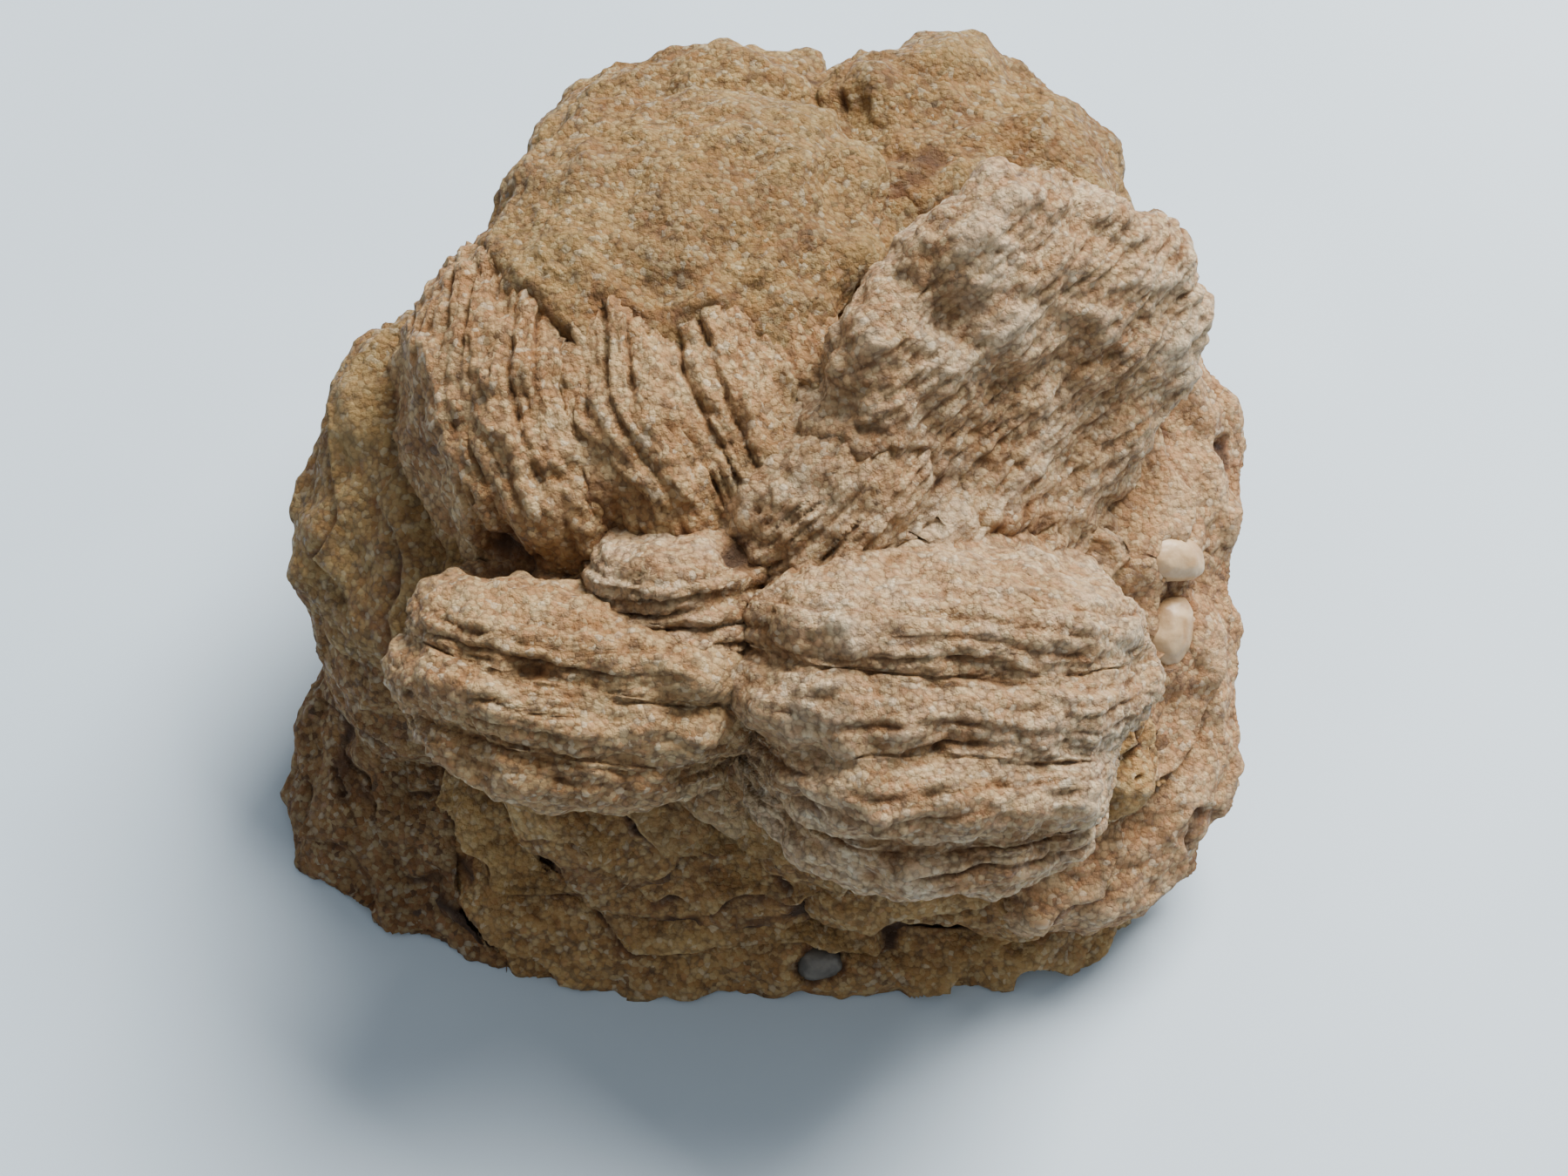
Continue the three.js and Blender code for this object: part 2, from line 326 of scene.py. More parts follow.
@dataclass(frozen=True)
class SandyBaryte:
    """Baryte grown through sand, so that its surface is sand grains held in crystal.

    The eye sees grains of many tans with a few white, orange and dark ones, in faint rows
    along the crystal sheets, with rust in the hollows. Painted shade darkens the gaps between the
    clumps and the deepest hollows, and the surface is paler where it stands proud. Here and
    there a quartz grain glints.
    """

    name: str
    pale: str = "D0B88D"
    middle: str = "B08D63"
    deep: str = "835F3D"
    rust: str = "8A5724"
    # the dark colour is painted shade for the deepest hollows and creases
    dark: str = "33200F"
    mixed: float = 0.42  # how much the grains differ from one another
    grain: float = 0.38  # mm, medium sand
    clump: float = 1.1  # mm, clumps of a few grains
    patch: float = 6.0  # mm, stained patches

    def material(self) -> Material:
        """Make the finish's material, or find it if it is already made."""
        if found := bpy.data.materials.get(self.name):
            return found
        material = bpy.data.materials.new(self.name)
        tree = emptied(material)
        in_mm = place_in_mm(tree)
        grain = add_node(
            tree,
            "ShaderNodeTexVoronoi",
            inputs={"Vector": self.unsorted(tree, in_mm), "Scale": 1 / self.grain},
        )
        own = add_node(tree, "ShaderNodeSeparateColor", inputs={"Color": grain.outputs["Color"]})
        rows = self.rows(tree)
        colour = self.sand_colour(tree, in_mm, own.outputs["Red"], rows)
        colour = self.shaded_gaps(tree, in_mm, colour, grain.outputs["Distance"])
        colour = self.stained_and_shaded(tree, in_mm, colour)
        shader = add_node(
            tree,
            "ShaderNodeBsdfPrincipled",
            inputs={
                "Base Color": colour,
                "Roughness": self.glints(tree, own.outputs["Blue"]),
                "IOR": 1.58,
                "Normal": self.grain_bump(tree, in_mm, grain.outputs["Distance"], rows),
            },
        )
        add_node(tree, "ShaderNodeOutputMaterial", inputs={"Surface": shader.outputs["BSDF"]})
        return material

    def unsorted(self, tree: NodeTree, in_mm: NodeSocket) -> NodeSocket:
        """Push the grains about, so that they are of many sizes and no two are alike.

        Args:
            tree: The material's node tree.
            in_mm: The place on the surface, in millimetres.

        Returns:
            The pushed place's socket.
        """
        push = add_node(
            tree,
            "ShaderNodeTexNoise",
            inputs={"Vector": in_mm, "Scale": 0.8 / self.grain, "Detail": 3.0, "Roughness": 0.7},
        ).outputs["Color"]
        return add_node(
            tree,
            "ShaderNodeVectorMath",
            {"operation": "MULTIPLY_ADD"},
            {0: push, 1: (self.grain,) * 3, 2: in_mm},
        ).outputs[0]

    def rows(self, tree: NodeTree) -> NodeSocket:
        """Make the faint rows that the grains lie in, along the crystal sheets.

        Args:
            tree: The material's node tree.

        Returns:
            A number from 0 to 1 that changes from row to row.
        """
        bedding = add_node(
            tree, "ShaderNodeAttribute", {"attribute_name": Surface.BEDDING.value}
        ).outputs["Vector"]
        return add_node(
            tree,
            "ShaderNodeTexNoise",
            inputs={"Vector": bedding, "Scale": 1.0, "Detail": 3.0, "Roughness": 0.6},
        ).outputs["Fac"]

    def sand_colour(
        self,
        tree: NodeTree,
        in_mm: NodeSocket,
        own: NodeSocket,
        rows: NodeSocket,
    ) -> NodeSocket:
        """Colour each sand grain, over a base that drifts from pale to deep.

        Args:
            tree: The material's node tree.
            in_mm: The place on the surface, in millimetres.
            own: A random number for each grain.
            rows: The rows that the grains lie in.

        Returns:
            The colour's socket.
        """
        drift = add_node(
            tree,
            "ShaderNodeTexNoise",
            inputs={"Vector": in_mm, "Scale": 1 / self.patch, "Detail": 6.0, "Roughness": 0.68},
        ).outputs["Fac"]
        tone = add_node(
            tree, "ShaderNodeMath", {"operation": "MULTIPLY_ADD"}, {0: rows, 1: 0.45, 2: drift}
        ).outputs[0]
        base = add_node(
            tree,
            "ShaderNodeValToRGB",
            inputs={"Fac": tone},
            stops=[(0.56, self.deep), (0.72, self.middle), (0.9, self.pale)],
        ).outputs["Color"]
        grains = add_node(
            tree,
            "ShaderNodeValToRGB",
            inputs={"Fac": own},
            stops=[
                (0.0, "6E4E2E"),
                (0.08, "A9763F"),
                (0.25, "CDAA74"),
                (0.48, "BC9058"),
                (0.68, "DFC796"),
                (0.84, "C48E5C"),
                (0.91, "EBDDBD"),
                (0.975, "4A3F34"),
            ],
        )
        grains.color_ramp.interpolation = "CONSTANT"
        return add_node(
            tree,
            "ShaderNodeMix",
            {"data_type": "RGBA"},
            {0: self.mixed, 6: base, 7: grains.outputs["Color"]},
        ).outputs[2]

    def shaded_gaps(
        self,
        tree: NodeTree,
        in_mm: NodeSocket,
        colour: NodeSocket,
        distance: NodeSocket,
    ) -> NodeSocket:
        """Paint shade into the gaps between the grains and between clumps of them.

        Args:
            tree: The material's node tree.
            in_mm: The place on the surface, in millimetres.
            colour: The sand's own colour.
            distance: The distance to the middle of the grain.

        Returns:
            The colour's socket.
        """
        clump = add_node(
            tree,
            "ShaderNodeTexNoise",
            inputs={"Vector": in_mm, "Scale": 1 / self.clump, "Detail": 3.0, "Roughness": 0.65},
        ).outputs["Fac"]
        depth = add_node(
            tree, "ShaderNodeMath", {"operation": "SUBTRACT"}, {0: distance, 1: clump}
        ).outputs[0]
        share = add_node(
            tree,
            "ShaderNodeMapRange",
            inputs={"Value": depth, "From Min": -0.05, "From Max": 0.35, "To Max": 0.62},
        ).outputs[0]
        # painted shade: the gaps between grains and clumps are darkened towards dark brown
        return add_node(
            tree,
            "ShaderNodeMix",
            {"data_type": "RGBA"},
            {0: share, 6: colour, 7: linear("5A3C20")},
        ).outputs[2]

    def stained_and_shaded(self, tree: NodeTree, in_mm: NodeSocket, colour: NodeSocket) -> NodeSocket:
        """Make what stands proud paler, lay rust in the hollows and paint shade into the deepest
        ones.

        Args:
            tree: The material's node tree.
            in_mm: The place on the surface, in millimetres.
            colour: The sand's own colour.

        Returns:
            The colour's socket.
        """
        hollow = add_node(
            tree, "ShaderNodeAttribute", {"attribute_name": Surface.HOLLOW.value}
        ).outputs["Fac"]
        patches = add_node(
            tree,
            "ShaderNodeTexNoise",
            inputs={"Vector": in_mm, "Scale": 1 / 2.2, "Detail": 4.0, "Roughness": 0.7},
        ).outputs["Fac"]
        rusty = add_node(
            tree, "ShaderNodeMath", {"operation": "MULTIPLY_ADD"}, {0: hollow, 1: 0.5, 2: patches}
        ).outputs[0]
        # paler where the surface stands proud; rust in the hollows is the stone's own; painted shade:
        # the deepest hollows and creases are darkened to the dark colour
        steps = (
            (hollow, 0.0, -0.6, 0.3, self.pale),
            (rusty, 0.56, 0.95, 0.75, self.rust),
            (hollow, 0.35, 1.0, 0.85, self.dark),
        )
        for value, low, high, most, tint in steps:
            share = add_node(
                tree,
                "ShaderNodeMapRange",
                inputs={"Value": value, "From Min": low, "From Max": high, "To Max": most},
            ).outputs[0]
            colour = add_node(
                tree,
                "ShaderNodeMix",
                {"data_type": "RGBA"},
                {0: share, 6: colour, 7: linear(tint)},
            ).outputs[2]
        return colour

    def glints(self, tree: NodeTree, own: NodeSocket) -> NodeSocket:
        """Make a few grains smooth enough to catch the light.

        Args:
            tree: The material's node tree.
            own: A random number for each grain.

        Returns:
            The roughness socket.
        """
        return add_node(
            tree,
            "ShaderNodeMapRange",
            inputs={"Value": own, "From Min": 0.84, "From Max": 0.9, "To Min": 0.85, "To Max": 0.38},
        ).outputs[0]

    def grain_bump(
        self,
        tree: NodeTree,
        in_mm: NodeSocket,
        distance: NodeSocket,
        rows: NodeSocket,
    ) -> NodeSocket:
        """Round each grain off, roughen the crystal between the grains, and raise the rows.

        Args:
            tree: The material's node tree.
            in_mm: The place on the surface, in millimetres.
            distance: The distance to the middle of the grain.
            rows: The rows that the grains lie in.

        Returns:
            The bumped normal's socket.
        """
        fine = add_node(
            tree,
            "ShaderNodeTexNoise",
            inputs={"Vector": in_mm, "Scale": 1 / 0.45, "Detail": 5.0, "Roughness": 0.75},
        ).outputs["Fac"]
        height = add_node(
            tree, "ShaderNodeMath", {"operation": "MULTIPLY_ADD"}, {0: fine, 1: 2.2, 2: rows}
        ).outputs[0]
        with_grains = add_node(
            tree,
            "ShaderNodeMath",
            {"operation": "MULTIPLY_ADD"},
            {0: distance, 1: -1.0, 2: height},
        ).outputs[0]
        return add_node(
            tree,
            "ShaderNodeBump",
            inputs={"Strength": 1.0, "Distance": 0.24 * MM, "Height": with_grains},
        ).outputs["Normal"]


@dataclass(frozen=True)
class WornPebble:
    """A water-worn pebble: smooth, faintly cloudy, with a soft sheen and dust on it."""

    name: str
    light: str
    dark: str
    roughness: float = 0.42
    cloud: float = 1.6  # mm, clouds and veins in the stone

    def material(self) -> Material:
        """Make the finish's material, or find it if it is already made."""
        if found := bpy.data.materials.get(self.name):
            return found
        material = bpy.data.materials.new(self.name)
        tree = emptied(material)
        in_mm = place_in_mm(tree)
        clouds = add_node(
            tree,
            "ShaderNodeTexNoise",
            inputs={"Vector": in_mm, "Scale": 1 / self.cloud, "Detail": 6.0, "Distortion": 0.6},
        )
        dust = add_node(
            tree,
            "ShaderNodeTexNoise",
            inputs={"Vector": in_mm, "Scale": 1 / 0.3, "Detail": 3.0},
        )
        colour = add_node(
            tree,
            "ShaderNodeValToRGB",
            inputs={"Fac": clouds.outputs["Fac"]},
            stops=[(0.35, self.dark), (0.62, self.light)],
        ).outputs["Color"]
        shader = add_node(
            tree,
            "ShaderNodeBsdfPrincipled",
            inputs={
                "Base Color": colour,
                "Roughness": self.roughness,
                "IOR": 1.54,
                "Normal": add_node(
                    tree,
                    "ShaderNodeBump",
                    inputs={"Strength": 0.35, "Distance": 0.08 * MM, "Height": dust.outputs["Fac"]},
                ).outputs["Normal"],
            },
        )
        add_node(tree, "ShaderNodeOutputMaterial", inputs={"Surface": shader.outputs["BSDF"]})
        return material


@dataclass(frozen=True)
class PaintedTabletop:
    """A pale painted tabletop, matt, with the faintest unevenness in the paint."""

    name: str = "painted_tabletop"
    colour: str = "C0D3E4"

    def material(self) -> Material:
        """Make the finish's material."""
        material = bpy.data.materials.new(self.name)
        tree = emptied(material)
        place = add_node(tree, "ShaderNodeTexCoord").outputs["Object"]
        unevenness = add_node(
            tree, "ShaderNodeTexNoise", inputs={"Vector": place, "Scale": 30.0, "Detail": 3.0}
        )
        colour = add_node(
            tree,
            "ShaderNodeValToRGB",
            inputs={"Fac": unevenness.outputs["Fac"]},
            stops=[(0.3, "B9CCDD"), (0.7, self.colour)],
        ).outputs["Color"]
        shader = add_node(
            tree,
            "ShaderNodeBsdfPrincipled",
            inputs={"Base Color": colour, "Roughness": 0.6, "IOR": 1.5},
        )
        add_node(tree, "ShaderNodeOutputMaterial", inputs={"Surface": shader.outputs["BSDF"]})
        return material


class Surface(Enum):
    """What a carved mesh hands to its material."""

    HOLLOW = "hollow"  # 1 in the bottom of a crack or pit, and below 0 where it stands proud; sets the painted shade in hollows and creases, the rust, and the paler proud parts
    BEDDING = "bedding"  # the place along, across and through the rows of grains, in rows


PALE_SAND = SandyBaryte("pale_sandy_baryte", pale="EAD9BC", middle="CDAE88", deep="8E6D4B", mixed=0.4)
BEIGE_SAND = SandyBaryte("beige_sandy_baryte")
GOLDEN_SAND = SandyBaryte(
    "golden_sandy_baryte", pale="A98F5A", middle="8A6F3F", deep="634B29", rust="84490F", mixed=0.32
)
HONEY_SAND = SandyBaryte(
    "honey_sandy_baryte", pale="9E8550", middle="7F6639", deep="5B4525", rust="7C480F", mixed=0.32
)
PEACH_SAND = SandyBaryte(
    "peach_sandy_baryte", pale="DDBF98", middle="C49A70", deep="9A7150", rust="8F5833"
)
# a darker tawny copy of the sand for the front flakes under the overhang: their own tawny colour with
# painted shade
SHADED_TAWNY_SAND = SandyBaryte(
    "shaded_tawny_sandy_baryte", pale="C6A468", middle="A5804B", deep="765632", rust="7E4A18"
)
# a darker brown copy of the sand for the plates under the lower-left overhang: their brown with
# painted shade
SHADED_BROWN_SAND = SandyBaryte(
    "shaded_brown_sandy_baryte", pale="8C6A3D", middle="6E4F2C", deep="4D331A", rust="5F340E"
)
WHITE_QUARTZ = WornPebble("cream_quartz_pebble", light="C3A985", dark="A3835E")
GREY_CHERT = WornPebble("grey_chert_pebble", light="6A665F", dark="413E39", roughness=0.5)


# ---------------------------------------------------------------------------
# How a blade grew
# ---------------------------------------------------------------------------


@dataclass(frozen=True)
class Growth:
    """The shape that a blade grew to. Lengths are in millimetres."""

    sheet: float = 1.15  # thickness of one crystal sheet
    run: float = 8.0  # how far a sheet keeps its height along the blade
    step: float = 0.3  # how far the sheets stand proud of one another
    groove: float = 0.3  # depth of the grooves between sheets
    rows: float = 0.26  # height of the rows of grains that the sheets are made of
    broad: float = 0.3  # share of the layering that shows on the broad faces
    swell: float = 0.5  # swelling over half a centimetre
    crust: float = 0.3  # unevenness over a millimetre or two
    clumps: float = 0.26  # height of the clumps of grains
    vugs: float = 0.8  # depth of the small holes
    scallop: float = 0.4  # how far the rim swings in and out
    rings: float = 0.0  # height of the growth steps on the broad faces
    shingles: float = 0.0  # thickness of the flakes that overlap outwards like roof tiles
    smoothing: int = 8  # passes that round the solid's facets off


class Habit(Enum):
    """The ways that a blade of this rosette grew."""

    BOOK = Growth(
        sheet=0.95, run=10.0, step=0.24, groove=0.28, rows=0.22, broad=0.45, swell=0.6, smoothing=160
    )
    RIB = Growth(
        sheet=1.25, run=14.0, step=0.3, groove=0.42, rows=0.26, swell=0.4, scallop=0.2, smoothing=50
    )
    LEAF = Growth(
        sheet=1.0, run=14.0, step=0.35, groove=0.5, rows=0.2, swell=0.2, crust=0.2, scallop=0.3
    )
    CREST = Growth(
        sheet=1.2,
        run=10.0,
        step=0.16,
        groove=0.05,
        rows=0.24,
        broad=0.8,
        swell=0.9,
        clumps=0.34,
        vugs=0.5,
        smoothing=16,
    )
    PLATE = Growth(
        sheet=1.7,
        step=0.45,
        rows=0.14,
        broad=0.35,
        swell=0.8,
        crust=0.2,
        clumps=0.18,
        rings=0.2,
        shingles=1.3,
        smoothing=14,
    )
    HUMP = Growth(
        sheet=1.7,
        step=0.45,
        rows=0.14,
        broad=0.35,
        swell=1.0,
        crust=0.24,
        clumps=0.24,
        smoothing=14,
    )
    FLAKE = Growth(sheet=0.9, step=0.4, rows=0.12, scallop=0.8, crust=0.24, shingles=2.3, smoothing=5)


@dataclass(frozen=True)
class Bedding:
    """The way that a blade's sheets lie.

    The direction is in the rosette's own frame: X across its open face, Y up the face and Z
    out of the face.
    """

    faces: tuple[float, float, float]  # the way that the middle sheet faces
    spine: float = 0.0  # mm behind the blade's middle where its sheets meet, or 0 for parallel ones
    bend: float = 0.0  # mm that a sheet falls back, 10 mm along it from the middle


@dataclass(frozen=True)
class Mark:
    """A hollow or a knob in the rosette's surface. Lengths are in millimetres."""

    node: str
    at: tuple[float, float, float]  # from the middle of that blade's box
    size: tuple[float, float, float]  # half its length, breadth and height
    rise: float  # below 0 for a hollow
    rust_and_shade: float = 0.6  # how much rust and painted shade a hollow holds, up to 1


MARKS = (
    Mark("right_fan", (-9, -8.6, 3.1), (1.5, 1.5, 1.5), -1.4),
    Mark("left_tongue", (-2.6, -3, 7.2), (2.2, 1, 1.4), -1.1, 0.7),
    Mark("middle_bridge", (3.9, -0.4, 4.3), (1.2, 1.6, 1.6), -1.0, 0.8),
    Mark("left_ribs", (-4, -12, 1.9), (3.5, 2, 2), -1.4, 0.8),
    Mark("shoulder_blade", (3.4, 4.2, 3.4), (1.4, 1, 1.2), -0.7, 0.5),
    Mark("upper_right_plate", (-4.9, -3.6, 5.2), (2.4, 2, 2), -0.8, 0.5),
    Mark("upper_right_plate", (-7, 3.9, 5.4), (1.8, 1.8, 1.8), 0.8),
    Mark("crest_blade", (-7.4, -5.8, 3.7), (2, 1.6, 2), 1.3),
    Mark("crest_blade", (-3.6, -1.7, 7.2), (1.6, 2.2, 1.6), -0.5, 0.2),
    Mark("crest_blade", (7.4, 1.9, 3), (1.6, 1.8, 1.4), -0.5, 0.2),
)


@dataclass
class Blade:
    """One crystal, or one book of crystal sheets, carved over its solid."""

    node: str
    habit: Habit
    finish: SandyBaryte
    bedding: Bedding | None = None  # worked out from the solid if it isn't given
    voxel: float = 0.22  # mm, the width of one facet of the carved mesh
    growth: float = 0.2  # mm that the crystal is grown to meet its neighbours
    weld: float = 1.0  # mm of sand that fills the crease against a neighbour
    weld_reach: float = 3.0  # mm, how far from the neighbour the fill starts
    crease_shade: float = 0.35  # how much painted shade darkens the crease against a neighbour, up to 1
    piece: Object | None = field(default=None, init=False)

    def build(self, frame: dict) -> Object:
        """Carve the blade over its solid.

        Args:
            frame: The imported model.

        Returns:
            The finished piece.
        """
        solid = frame["nodes"][self.node]
        mesh = fine_copy(solid, self.voxel, self.habit.value.smoothing)
        points, normals = surface_of(mesh)
        bedded, through = self.bedded(solid, points)
        layering, groove = self.layering(bedded, points, np.abs(np.sum(normals * through, 1)))
        crust, pocket = self.crust(bedded, points)
        fill, crease = self.fill(frame, points, normals)
        marks, dent = marked(points)
        offset = self.growth + layering + crust + fill + marks
        points = points + normals * offset[:, None]
        points[:, 2] = np.maximum(points[:, 2], 0.0)
        mesh.vertices.foreach_set("co", (points * MM).astype(np.float32).ravel())
        # the hollow attribute sets the painted shade in hollows and creases, the rust, and the paler
        # proud parts
        proud = 0.6 * fade(layering + crust, 0.1, 0.9)
        store(mesh, Surface.HOLLOW, np.clip(groove + pocket + crease + dent - proud, -0.6, 1))
        store(mesh, Surface.BEDDING, bedded / (1.1, 1.1, 0.42))
        self.piece = finished_piece(f"{self.node}_crystal", mesh)
        return self.piece

    def bedded(self, solid: Object, points: np.ndarray) -> ArrayPair:
        """Place each point along, across and through the blade's sheets.

        Args:
            solid: The blade's solid.
            points: Places on the surface, in millimetres.

        Returns:
            The places, as rows, and the way that the sheets face at each point.
        """
        through = leaned(self.bedding.faces) if self.bedding else broad_side(solid)
        outward = leaned((0, 0, 1))
        across = outward - (outward @ through) * through
        across /= np.linalg.norm(across)
        along = np.cross(across, through)
        away = points - box_middle(self.node)
        places = np.stack([away @ along, away @ across, away @ through], axis=1)
        facing = np.broadcast_to(through, points.shape)
        if self.bedding and self.bedding.spine:
            reach = places[:, 1] + self.bedding.spine
            angle = np.arctan2(places[:, 2], reach)
            facing = np.cos(angle)[:, None] * through - np.sin(angle)[:, None] * across
            places[:, 1] = np.hypot(places[:, 2], reach)
            places[:, 2] = angle * self.bedding.spine * 1.3
        if self.bedding:
            places[:, 2] += self.bedding.bend * (places[:, 0] / 10) ** 2
        places[:, 2] += 0.6 * NOISE.smooth(points, 9.0) + 0.16 * NOISE.smooth(points, 2.3)
        return places, facing

    def layering(self, bedded: np.ndarray, points: np.ndarray, flatness: np.ndarray) -> ArrayPair:
        """Work out the sheets, the grooves between them and the rows of grains in them.

        Args:
            bedded: Places along, across and through the sheets.
            points: The same places in the part.
            flatness: 1 on a broad face of the blade, 0 on its rim.

        Returns:
            How far each point moves outwards, and how hollow the surface is there.
        """
        grown = self.habit.value
        share = grown.broad + (1 - grown.broad) * fade(flatness, 0.9, 0.4)
        sheet, groove = NOISE.sheets(bedded, grown.sheet, grown.run)
        leaf, slit = NOISE.sheets(bedded + 31.7, grown.sheet * 0.47, grown.run * 0.4)
        rows = NOISE.smooth(bedded / (1.5, 1.5, 0.4) + 11.3, 1.0)
        stretch = (0.7 * grown.run, 0.7 * grown.run, 1.6 * grown.sheet)
        opening = NOISE.smooth(bedded / stretch + 50, 1.0)
        open_groove = groove * fade(opening, -0.3, 0.2)
        open_slit = slit * fade(NOISE.smooth(points + 80, 2.5), -0.1, 0.35)
        height = grown.step * (sheet + 0.45 * leaf) + grown.rows * rows
        depth = grown.groove * (open_groove + 0.55 * open_slit)
        swing = grown.scallop * NOISE.smooth(points + 23, 3.2) * fade(flatness, 0.8, 0.3)
        ring, ring_edge = self.rings(bedded)
        flake, foot = self.shingles(points)
        ringed = grown.rings * fade(flatness, 0.45, 0.85)
        hollow = 0.5 * open_groove + 0.3 * open_slit + 0.25 * fade(-rows, 0.2, 0.7)
        offset = share * (height - depth) + swing + ringed * (ring - 0.7 * ring_edge)
        shingled = grown.shingles * (0.35 + 0.65 * fade(flatness, 0.3, 0.7))
        hollow = share * hollow + 0.45 * ringed * ring_edge + 0.6 * shingled * foot
        return offset + shingled * flake, hollow

    def rings(self, bedded: np.ndarray) -> ArrayPair:
        """Work out the growth steps that follow the blade's rim round its broad faces.

        Args:
            bedded: Places along, across and through the sheets.

        Returns:
            The height of the step at each place, mostly from -1 to 1, and how near the place
            is to its lower edge, from 0 to 1.
        """
        level = bedded[:, :2] - bedded[:, :2].mean(0)
        reach = np.abs(level).max(0)
        outward = np.linalg.norm(level / reach, axis=1)
        wander = 1.6 * NOISE.smooth(bedded + 12, 6.0) + 0.5 * NOISE.smooth(bedded + 3, 2.0)
        places = np.column_stack([level, outward * reach.min() + wander])
        height, edge = NOISE.sheets(places, 2.4, 7.0)
        towards_rim = fade(outward, 0.3, 0.6)
        return height * towards_rim, edge * towards_rim

    def shingles(self, points: np.ndarray) -> ArrayPair:
        """Work out the thin flakes that overlap outwards from where the rosette grew.

        Args:
            points: Places on the surface, in millimetres.

        Returns:
            The height at each place, up to 1 at a flake's rim, and how near the place is to
            the foot of a rim, from 0 to 1.
        """
        away = points - growth_middle()
        face = np.column_stack([away[:, 0], away @ leaned((0, 1, 0))])
        scallops = 3.6 * np.abs(NOISE.smooth(points + 70, 7.0)) + 0.5 * NOISE.smooth(points, 2.0)
        level = (np.linalg.norm(face, axis=1) + scallops) / 3.9
        flake = np.floor(level)
        part = level - flake
        own = NOISE.smooth(np.column_stack([face / 7, flake * 5.17]), 1.0)
        thickness = 0.35 + 0.65 * fade(own, -0.35, 0.35)
        height = part * (1 - fade(part, 0.9, 1.0)) - 0.4
        foot = np.maximum(fade(part, 0.16, 0.02), fade(part, 0.95, 1.0))
        return thickness * height, thickness * foot

    def crust(self, bedded: np.ndarray, points: np.ndarray) -> ArrayPair:
        """Work out the swelling of the sand, its clumps of grains and the holes in it.

        Args:
            bedded: Places along, across and through the sheets.
            points: The same places in the part.

        Returns:
            How far each point moves outwards, and how hollow the surface is there.
        """
        grown = self.habit.value
        swell = NOISE.layered(points, 5.5, 2)
        crust = NOISE.layered(points + 5, 1.9, 3)
        clump, _ = NOISE.grains(bedded / (1.3, 1.3, 1.0), 0.75)
        holes = NOISE.layered(bedded / (1.5, 1.5, 0.8) + 91.3, 1.6, 2)
        vug = fade(holes, 0.95, 1.4)
        offset = (
            grown.swell * swell
            + grown.crust * crust
            + grown.clumps * (0.5 - clump)
            - grown.vugs * vug
        )
        hollow = 0.6 * vug + 0.3 * fade(clump, 0.62, 0.95) + 0.2 * fade(-crust, 0.3, 1.0)
        return offset, hollow

    def fill(self, frame: dict, points: np.ndarray, normals: np.ndarray) -> ArrayPair:
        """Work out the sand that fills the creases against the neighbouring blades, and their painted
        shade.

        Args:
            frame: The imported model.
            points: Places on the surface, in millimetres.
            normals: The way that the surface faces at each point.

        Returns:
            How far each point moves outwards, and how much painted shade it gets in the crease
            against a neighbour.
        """
        distance, rises = nearest_neighbour(frame, self.node, points, normals, self.weld_reach)
        near = np.clip(1 - distance / self.weld_reach, 0, 1)
        uneven = 0.8 + 0.5 * NOISE.smooth(points + 140, 4.0)
        fill = self.weld * near**2 * (0.2 + 0.8 * fade(rises, -0.1, 0.6)) * uneven
        patchy = fade(NOISE.smooth(points + 60, 2.5), -0.5, 0.3)
        # painted shade in the crease where a neighbouring blade rises in front
        crease = self.crease_shade * fade(near, 0.45, 0.9) * fade(rises, -0.2, 0.5) * patchy
        return fill, crease

    def dress(self) -> None:
        """Give the blade its finish and its place in the part."""
        dress(self.piece, self.finish, self.node)


@dataclass
class Inclusion:
    """A pebble, chip or grain of other stone that the sand holds."""

    node: str
    finish: WornPebble
    slot: str
    voxel: float = 0.1
    roughness: float = 0.05  # mm of unevenness
    piece: Object | None = field(default=None, init=False)

    def build(self, frame: dict) -> Object:
        """Round the stone off over its solid.

        Args:
            frame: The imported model.

        Returns:
            The finished piece.
        """
        mesh = fine_copy(frame["nodes"][self.node], self.voxel, 12)
        points, normals = surface_of(mesh)
        offset = self.voxel + self.roughness * NOISE.layered(points, 1.2, 3)
        points = points + normals * offset[:, None]
        mesh.vertices.foreach_set("co", (points * MM).astype(np.float32).ravel())
        self.piece = finished_piece(f"{self.node}_stone", mesh)
        return self.piece

    def dress(self) -> None:
        """Give the stone its finish and its place in the part."""
        dress(self.piece, self.finish, self.node)


# ---------------------------------------------------------------------------
# Mesh work
# ---------------------------------------------------------------------------


def leaned(direction: tuple[float, float, float]) -> np.ndarray:
    """Turn a direction in the rosette's own frame into one in the part.

    Args:
        direction: The direction, of any length.

    Returns:
        The direction in the part, of length 1.
    """
    turned = Matrix.Rotation(FACE_TILT, 3, "X") @ Vector(direction).normalized()
    return np.array(turned, np.float32)


def box_middle(node: str) -> np.ndarray:
    """Find the middle of a solid's box, in millimetres."""
    low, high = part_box(node)
    return np.array((low + high) / 2) / MM


def growth_middle() -> np.ndarray:
    """Find the place that the rosette grew out from, in millimetres."""
    return (box_middle("crest_foot") + box_middle("middle_bridge")) / 2


def broad_side(solid: Object) -> np.ndarray:
    """Find the way that most of a blade's surface looks.

    Args:
        solid: The blade's solid.

    Returns:
        The direction, of length 1.
    """
    mesh = solid.data
    count = len(mesh.polygons)
    normals = np.zeros(count * 3, np.float32)
    areas = np.zeros(count, np.float32)
    mesh.polygons.foreach_get("normal", normals)
    mesh.polygons.foreach_get("area", areas)
    normals = normals.reshape(-1, 3)
    _, directions = np.linalg.eigh((normals * areas[:, None]).T @ normals)
    return directions[:, 2]


